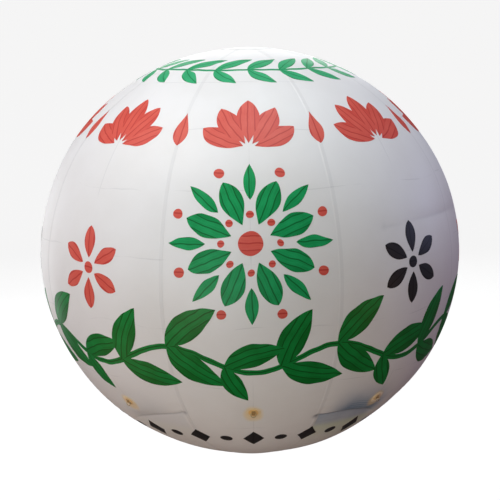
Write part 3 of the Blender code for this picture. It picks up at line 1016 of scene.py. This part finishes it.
pad = {
    "seatToBar": 0.0080,        # from the film to the ring's bar
    "edge": 0.044, "edgeWaver": 0.006,      # outside this radius the pad isn't quite round
    # Radius and height above the film, in millimetres: edge, pressed weld ring, and the middle's doubler
    "profile": [
        (0.4, 0.2), (50.0, 0.2), (50.6, 0.6), (50.2, 1.2), (49.0, 1.5), (45.0, 1.6), (43.6, 1.6),
        (43.0, 1.1), (40.6, 1.1), (40.0, 1.7), (35.0, 1.8), (32.6, 1.9), (32.2, 3.4), (31.4, 4.0),
        (29.0, 4.25), (15.0, 4.3), (0.4, 4.3),
    ],
    "steps": 96,
}
webbing = {
    "width": 0.025, "thickness": 0.0023,
    "corners": 0.32, "steps": 28,           # power and points of the superellipse
    # Half of its path in side view, (along the pad, out) in millimetres: a foot, and the loop over the bar
    "path": [
        (-21.0, 5.75), (-16.0, 5.75), (-9.0, 5.75), (-5.6, 5.85), (-4.2, 6.9), (-4.15, 9.6), (-2.6, 11.9),
        (-0.9, 12.15),
    ],
    "smoothing": 2,
}
stitch = {
    "length": 0.0027, "radius": 0.00042, "pitch": 0.0034,
    "halfWidth": 0.0090, "near": 0.0090, "far": 0.0192,     # sides of the sewn box, from the bar's middle
    "height": 0.0070,
    "rows": 5, "steps": 6, "tip": 0.12,
}
tieRing = {
    "wire": 0.0025, "halfWidth": 0.0185, "corner": 0.005, "bowDrop": 0.008,
    "barPoints": 14, "cornerPoints": 8, "bowPoints": 40, "steps": 14,
    "weld": (0.0111, -0.0225), "weldLength": 0.0016,
    "weldSwell": (0.985, 0.10),         # the wire's share of its radius, and what the weld adds
}


def tiePoint(number):
    # The middle of the ring's bar and the directions east, up and out, from the joint and the pad's place
    joint = jointOf(f"tie_ring_{number}")
    bar, east = np.array(joint["pos_m"], float), unit(np.array(joint["axis"], float))
    low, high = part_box(f"tie_patch_{number}")
    out = unit(bar - np.array((low + high) / 2.0))
    return bar, np.stack([east, np.cross(out, east), out])


def makePad(number, seat, axes, look):
    # The profile turned about the pad's middle, laid on the round film: height less r^2 / 2R
    profile = np.array(look["profile"]) * millimetre
    angle = turnAngles(look["steps"])
    waver = np.sin(3.0 * angle + number) + 0.6 * np.sin(7.0 * angle + 2.0 * number)
    waver *= look["edgeWaver"] / 1.6        # the two sines add up to 1.6 at most
    r = profile[:, :1] * (1.0 + waver * (profile[:, :1] > look["edge"]))
    x, y = r * np.cos(angle), r * np.sin(angle)
    z = profile[:, 1:] - (x * x + y * y) / (2.0 * envelope["equatorRadius"])
    shape = tube(seat + np.stack([x, y, z], axis=-1) @ axes, np.stack([x, y], axis=-1))
    piece = newPiece(f"tie_pad_{number}", shape, padMaterial, "padUv")
    fit(piece, "envelope", "yellow_pvc", f"tie_patch_{number}")


def makeWebbing(number, seat, axes, look):
    # A flat section carried along a foot, over the ring's bar, and along the other foot: middle + x east + y
    # (path turned by a right angle)
    path = np.array(look["path"] + [(-x, y) for x, y in reversed(look["path"])])
    path = rounded(path * millimetre, look["smoothing"])
    section = superellipse(look["width"], look["thickness"], look["corners"], look["steps"])
    x = np.broadcast_to(section[:, 0], (len(path), len(section)))
    side = path[:, None, :] + section[None, :, 1:] * beside(unit(np.gradient(path, axis=0)))[:, None, :]
    local = np.concatenate([x[..., None], side], axis=-1)
    along = np.cumsum(np.linalg.norm(np.diff(path, axis=0, prepend=path[:1]), axis=1))
    uv = np.stack([np.broadcast_to(along[:, None], x.shape), x], axis=-1)
    piece = newPiece(f"webbing_tab_{number}", tube(seat + local @ axes, uv), webbingMaterial, "weaveUv")
    fit(piece, "envelope", "brown_webbing", f"tie_tab_{number}")


def stitchRow(start, end, pitch):
    # Middles and direction of the stitches from start to end
    start, end = np.array(start), np.array(end)
    length = np.linalg.norm(end - start)
    count = max(1, round(length / pitch))
    share = (np.arange(count) + 0.5) / count
    return [start + (end - start) * t for t in share], (end - start) / length


def makeStitches(number, seat, axes, look):
    # A box with a cross on each foot of the webbing. Each stitch is a spindle of a radius like sin(pi t).
    w, near, far = look["halfWidth"], look["near"], look["far"]
    t = np.linspace(0.0, 1.0, look["rows"])[:, None]
    ring = look["radius"] * np.maximum(np.sin(math.pi * t), look["tip"])
    angle = turnAngles(look["steps"])
    aside, z = (ring * np.cos(angle))[..., None], (look["height"] + ring * np.sin(angle))[..., None]
    parts = []
    for sign in (-1.0, 1.0):
        corners = [(-w, sign * near), (w, sign * near), (w, sign * far), (-w, sign * far)]
        rows = [(corners[i], corners[(i + 1) % 4]) for i in range(4)]
        rows += [(corners[0], corners[2]), (corners[1], corners[3])]
        for start, end in rows:
            middles, ahead = stitchRow(start, end, look["pitch"])
            spindle = ahead * (t[..., None] - 0.5) * look["length"] + beside(ahead) * aside
            for middle in middles:
                local = np.concatenate([middle + spindle, z], axis=-1)
                parts.append(tube(seat + local @ axes))
    fit(newPiece(f"webbing_stitches_{number}", joined(parts), threadMaterial), "envelope", "brown_webbing")


def ringPath(look):
    # The D in (across, drop): bar, corner, bow, corner
    corner, wide = look["corner"], look["halfWidth"]
    bar = np.linspace(corner - wide, wide - corner, look["barPoints"])
    quarter = np.radians(np.linspace(90.0, 0.0, look["cornerPoints"]))[1:]
    bow = np.radians(np.linspace(0.0, -180.0, look["bowPoints"]))
    right = np.stack([wide - corner + corner * np.cos(quarter), corner * (np.sin(quarter) - 1.0)], axis=-1)
    arc = np.stack([wide * np.cos(bow), wide * np.sin(bow) - look["bowDrop"]], axis=-1)
    left = right[::-1] * (-1.0, 1.0)
    return np.vstack([np.stack([bar, np.zeros_like(bar)], axis=-1), right, arc, left[:-1]])


def makeRing(number, bar, east, look):
    # Round wire carried along the D, which hangs straight down from its bar: middle + r (cos a inwards in
    # the D's plane + sin a square to it). It is a little thicker at its weld.
    path = ringPath(look)
    plane = np.stack([east, [0.0, 0.0, 1.0]])
    flat = np.cross(plane[0], plane[1])
    inwards = np.cross(flat, unit(np.roll(path, -1, 0) - np.roll(path, 1, 0)) @ plane)
    angle = turnAngles(look["steps"])[:, None]
    fromWeld = np.linalg.norm(path - look["weld"], axis=1) / look["weldLength"]
    share, swell = look["weldSwell"]
    radius = look["wire"] * (share + swell * np.exp(-fromWeld ** 2))
    section = radius[:, None, None] * (np.cos(angle) * inwards[:, None, :] + np.sin(angle) * flat)
    shape = tube(bar + (path @ plane)[:, None, :] + section, loopRows=True)
    piece = newPiece(f"steel_ring_{number}", shape, steelMaterial)
    fit(piece, f"tie_ring_{number}", "steel", f"tie_ring_{number}")


for number in range(1, goreCount + 1):
    bar, axes = tiePoint(number)
    seat = bar - axes[2] * pad["seatToBar"]
    makePad(number, seat, axes, pad)
    makeWebbing(number, seat, axes, webbing)
    makeStitches(number, seat, axes, stitch)
    makeRing(number, bar, axes[0], tieRing)
print("tie points made")


# Crown disc and base disc, welded over the tips of the gores

disc = {
    "radius": 0.180, "hole": 0.0275, "tip": 0.0004,     # tip: the smallest ring where there is no hole
    "steps": 192, "plainRows": 14,
    "gap": 0.0002, "thickness": 0.0016,         # gap: between it and the film
    "plainTo": 0.152, "weldRing": (0.158, 0.168), "press": 0.0007,
    "bevel": 0.001, "edgeDrop": 0.0006,
    "flatTo": 0.062, "roundFrom": 0.105,        # round the valve the base disc is flat
    "overFlange": 0.0003,
    "uvRadius": 0.15,                           # where the UV map is true to size
    "fromSeams": 0.5,                           # far enough for the material to draw no weld
}
_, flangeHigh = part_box("valve_flange")
_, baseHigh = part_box("base_disc")


def makeDisc(name, node, side, hole, look):
    # Rings of points: the side on the film from the middle outwards, and the outer side back to the middle,
    # on the film's own shape at cos(lat) = r / a. The weld ring near the edge is pressed in.
    bevel, (inner, outer), rim = look["bevel"], look["weldRing"], look["radius"]
    plain = np.linspace(hole or look["tip"], look["plainTo"], look["plainRows"])
    radii = np.append(plain, [inner - bevel, inner + bevel, outer - bevel, outer + bevel, rim - bevel, rim])
    pressed = (radii > inner) & (radii < outer)
    top = look["gap"] + look["thickness"] - look["press"] * pressed
    top[-1] -= look["edgeDrop"]
    azimuth = side * np.linspace(0.0, 360.0, look["steps"], endpoint=False)
    radius = np.concatenate([radii, radii[::-1]])[:, None] * np.ones_like(azimuth)
    lift = np.concatenate([np.full(len(radii), look["gap"]), top[::-1]])[:, None] * np.ones_like(azimuth)
    azimuth = np.broadcast_to(azimuth, radius.shape)
    latitude = side * np.degrees(np.arccos(radius / envelope["equatorRadius"]))
    points = paintedSurface(azimuth, latitude, lift)
    if hole:
        underside = np.arange(len(radius))[:, None] < len(radii)
        flat = np.where(underside, baseHigh.z, flangeHigh.z + look["overFlange"])
        share = 1.0 - smooth(radius, look["flatTo"], look["roundFrom"])
        points[..., 2] = points[..., 2] * (1.0 - share) + flat * share
    shape = tube(points, np.stack([radius, np.radians(azimuth) * look["uvRadius"]], axis=-1), bool(hole))
    values = {"crease": np.zeros_like(radius), "seamDistance": np.full_like(radius, look["fromSeams"])}
    piece = newPiece(name, shape, filmMaterial, "filmUv", values)
    fit(piece, "envelope", "white_pvc", node)


makeDisc("crown_film_disc", "crown_disc", 1.0, 0.0, disc)
makeDisc("base_film_disc", "base_disc", -1.0, disc["hole"], disc)
print("discs made")


# Filling valve: neck, flange with rivets and ears, hinged lid and pin

valve = {
    # Millimetres, and (radius, height above the lower face) in the outlines
    "steps": 96,
    "neck": [(27.0, 3.0), (26.7, 0.9), (25.8, 0.0), (23.2, 0.0), (22.3, 0.7), (22.0, 2.0)],
    "plateUnder": 16.5,                 # the plate's lower face, above the hinge
    "plate": [(55.0, 0.7), (54.3, 0.0), (51.5, 0.0), (50.7, 0.8), (36.0, 0.8), (35.2, 0.0), (27.7, 0.0),
              (27.3, 0.4)],
    "plateTop": [(27.3, 0.0), (54.4, 0.0), (55.0, -0.6)],       # from its upper face
    "rivets": 12, "rivetCircle": 46.0, "rivetRadius": 2.6, "rivetHeight": 1.3, "rivetSeat": 1.0,
    "rivetDome": 84.0, "rivetRows": 6, "rivetSteps": 14,
    # An ear's start and end along the pin, and the knuckle's radius and half length
    "ear": (5.5, 9.5), "knuckle": 4.0, "knuckleReach": 5.0,
    "ease": 0.4, "easeShare": 0.92,     # how the rims of ears and arm are eased
    "lid": [
        (0.3, 4.0), (29.8, 4.0), (30.8, 3.6), (31.0, 3.0), (31.0, 1.6), (30.4, 1.0), (28.6, 0.9),
        (28.0, 0.2), (26.6, 0.0), (25.4, 0.2), (24.8, 1.0), (15.0, 1.0), (14.4, 0.2), (13.4, 0.0),
        (12.4, 0.2), (11.8, 1.0), (6.0, 1.1), (5.0, 0.3), (3.0, 0.0), (0.3, 0.0),
    ],
    "armUnder": [(28.5, 0.6), (33.5, 0.6)], "armTop": [(31.8, 4.0), (28.5, 3.6)],
    # Along the pin from its middle, and radius
    "pin": [(10.6, 0.4), (10.4, 1.4), (9.9, 2.2), (9.55, 2.4), (9.5, 1.45)],
    "pinSteps": 20,
}
neckLow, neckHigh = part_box("valve_stem")
lidLow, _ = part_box("valve_cap")
hinge = np.array(jointOf("valve_cap")["pos_m"], float)


def valvePiece(name, parts, material, body, slot, *nodes):
    # Several shapes as one piece of the valve
    fit(newPiece(name, joined(parts), material), body, slot, *nodes)


def atHeight(outline, base):
    # An outline in millimetres above a base height
    return np.array(outline) * millimetre + (0.0, base)


def turnedDown(profile, loopRows=False):
    # A profile turned about Z, facing down
    return tube(turned(profile, valve["steps"], -1.0), loopRows=loopRows)


def alongX(outline, start, end):
    # An outline in (y, z), counter-clockwise seen from +X, carried from start to end with its rims eased
    ease = valve["ease"] * millimetre
    middle = outline.mean(0)
    eased = middle + (outline - middle) * valve["easeShare"]
    rings = [(start, eased), (start + ease, outline), (end - ease, outline), (end, eased)]
    return tube(np.stack([np.column_stack([np.full(len(ring), x), ring]) for x, ring in rings]))


def knuckleArc(start, end, count):
    # (y, z) of an arc about the hinge: middle + r (cos a, sin a)
    angle = np.radians(np.linspace(start, end, count))
    return hinge[1:] + valve["knuckle"] * millimetre * np.stack([np.cos(angle), np.sin(angle)], axis=-1)


def makeNeck(look):
    # The lip's outline and two corners at the top, turned about Z
    lip = look["neck"]
    top = atHeight([(lip[-1][0], 0.0), (lip[0][0], 0.0)], neckHigh.z)
    parts = [turnedDown(np.vstack([top, atHeight(lip, neckLow.z)]), True)]
    valvePiece("valve_neck", parts, plasticMaterial, "envelope", "valve_plastic", "valve_stem")


def makePlate(look, face):
    # The flange: a plate with a raised rim and a raised step round the neck
    profile = np.vstack([atHeight(look["plateTop"], flangeHigh.z), atHeight(look["plate"], face)])
    parts = [turnedDown(profile, True)]
    valvePiece("valve_plate", parts, plasticMaterial, "envelope", "valve_plastic", "valve_flange")


def makeRivets(look, face):
    # Domes on a circle: radius r cos(rise), height h sin(rise)
    rise = np.radians(np.linspace(0.0, look["rivetDome"], look["rivetRows"]))
    height = look["rivetSeat"] - look["rivetHeight"] * np.sin(rise)
    dome = atHeight(np.stack([look["rivetRadius"] * np.cos(rise), height], axis=-1), face)
    head = turned(dome, look["rivetSteps"], -1.0)
    parts = []
    for i in range(look["rivets"]):
        x, y = polar(look["rivetCircle"] * millimetre, (i + 0.5) * 360.0 / look["rivets"])
        parts.append(tube(head + (x, y, 0.0)))
    valvePiece("valve_rivets", parts, steelMaterial, "envelope", "steel")


def makeEars(look, face):
    # Two ears under the plate, round about the pin
    arc = knuckleArc(180.0, 360.0, 16)
    top = face + look["rivetSeat"] * millimetre
    outline = np.vstack([[(arc[0, 0], top)], arc, [(arc[-1, 0], top)]])
    near, far = (x * millimetre for x in look["ear"])
    parts = [alongX(outline, near, far), alongX(outline, -far, -near)]
    valvePiece("valve_ears", parts, plasticMaterial, "envelope", "valve_plastic")


def makeLid(look):
    # A ribbed disc with an arm that ends in the knuckle
    reach = look["knuckleReach"] * millimetre
    under, top = (atHeight(look[key], lidLow.z) for key in ("armUnder", "armTop"))
    arm = np.vstack([under, knuckleArc(-75.0, 180.0, 14), top])
    parts = [turnedDown(atHeight(look["lid"], lidLow.z)), alongX(arm, -reach, reach)]
    valvePiece("valve_lid", parts, plasticMaterial, "valve_cap", "valve_plastic", "valve_cap")


def makePin(look):
    # A rod with a domed head at each end
    half = np.array(look["pin"]) * millimetre
    profile = np.vstack([half * (-1.0, 1.0), half[::-1]])
    angle = turnAngles(look["pinSteps"])
    x, radius = profile[:, :1] * np.ones_like(angle), profile[:, 1:]
    rings = np.stack([x, radius * np.cos(angle), radius * np.sin(angle)], axis=-1)
    valvePiece("hinge_pin", [tube(rings + hinge)], steelMaterial, "envelope", "steel", "valve_pin")


plateFace = hinge[2] + valve["plateUnder"] * millimetre
makeNeck(valve)
makePlate(valve, plateFace)
makeRivets(valve, plateFace)
makeEars(valve, plateFace)
makeLid(valve)
makePin(valve)
print("valve made")


# Floor and light

stageLook = {
    "floor": -2.62, "radius": 26.0, "rise": 11.0, "bend": 9.0,
    "tip": 0.02, "flatRows": 12, "bendRows": 16, "steps": 96,
    "pale": (rgb(0.16, 0.16, 0.16), rgb(0.18, 0.18, 0.18)), "glow": 0.88,
}


def makeFloorMaterial(look):
    # Pale and matt, with a glow of its own
    constants = {"Roughness": 0.9, "Emission Color": rgb(1.0, 1.0, 1.0), "Emission Strength": look["glow"]}
    wire, finish = startMaterial("pale_floor", constants)
    return finish(noise(wire, objectPlace(wire), 0.2).blend(*look["pale"]))


def makeStage(look):
    # A flat floor that bends up into a wall: z = floor out to the bend, then a quarter circle
    bend, start = look["bend"], look["radius"] - look["bend"]
    flat = np.linspace(look["tip"], start, look["flatRows"])
    angle = np.radians(np.linspace(0.0, 90.0, look["bendRows"]))[1:]
    r = np.concatenate([flat, start + bend * np.sin(angle), [look["radius"]]])
    z = np.concatenate([np.zeros_like(flat), bend * (1.0 - np.cos(angle)), [bend + look["rise"]]])
    points = turned(np.stack([r, look["floor"] + z], axis=-1), look["steps"])
    inside = gridQuads(len(r), look["steps"], False, True)[:, ::-1]
    quads = np.concatenate([inside, capQuads(np.arange(look["steps"]))])
    floor = newPiece("floor", (points.reshape(-1, 3), quads, None), makeFloorMaterial(look), sharp=60.0)
    # Only the camera sees it, so it lights and shades nothing
    floor.visible_diffuse = False
    floor.visible_glossy = False
    floor.visible_shadow = False


lamps = {
    # Azimuth and elevation in degrees, distance, size, how much it adds to a white surface, and colour
    "key": (-67.0, 56.0, 11.0, 6.0, 0.435, (1.0, 0.89, 0.80)),
    "keyLow": (-75.0, 25.0, 11.0, 6.0, 0.21, (0.63, 0.77, 1.0)),
    "top": (42.0, 77.0, 12.0, 7.0, 0.575, (0.90, 0.97, 1.0)),
    "front": (-14.0, -4.0, 12.0, 8.0, 0.243, (0.69, 0.93, 1.0)),
    "rightFill": (103.0, 14.0, 12.0, 7.0, 0.205, (0.51, 0.57, 1.0)),
    "leftFill": (-138.0, -4.0, 12.0, 7.0, 0.215, (0.95, 1.0, 1.0)),
    "backFill": (178.0, 20.0, 14.0, 7.0, 0.25, (0.97, 1.0, 0.98)),
    "rightBounce": (60.0, -16.0, 10.0, 5.0, 0.080, (1.0, 0.47, 0.24)),
    "leftBounce": (-32.0, -19.0, 10.0, 5.0, 0.220, (1.0, 0.72, 0.51)),
    "leftLow": (-80.0, -40.0, 10.0, 5.0, 0.070, (1.0, 0.50, 0.36)),
}


def makeLamps(look):
    # A diffuse white surface that faces a lamp of power P at distance d shows P / (pi d)^2
    for name, (azimuth, elevation, distance, size, share, colour) in look.items():
        data = bpy.data.lights.new(name, "AREA")
        data.shape = "DISK"
        data.size = size
        data.energy = share * (math.pi * distance) ** 2
        data.color = colour
        lamp = bpy.data.objects.new(name, data)
        lamp.visible_camera = False
        placeFacingMiddle(lamp, azimuth, elevation, distance)


skyLook = {"colour": rgb(1.0, 0.84, 0.80), "strength": 0.065}


def makeWorld(look):
    # An even, dim light from all sides
    world = bpy.data.worlds.new("sky")
    world.use_nodes = True
    background = world.node_tree.nodes["Background"]
    background.inputs["Color"].default_value = look["colour"]
    background.inputs["Strength"].default_value = look["strength"]
    bpy.context.scene.world = world


makeStage(stageLook)
makeLamps(lamps)
makeWorld(skyLook)
bpy.context.scene.view_settings.view_transform = "Standard"

bpy.context.view_layer.update()
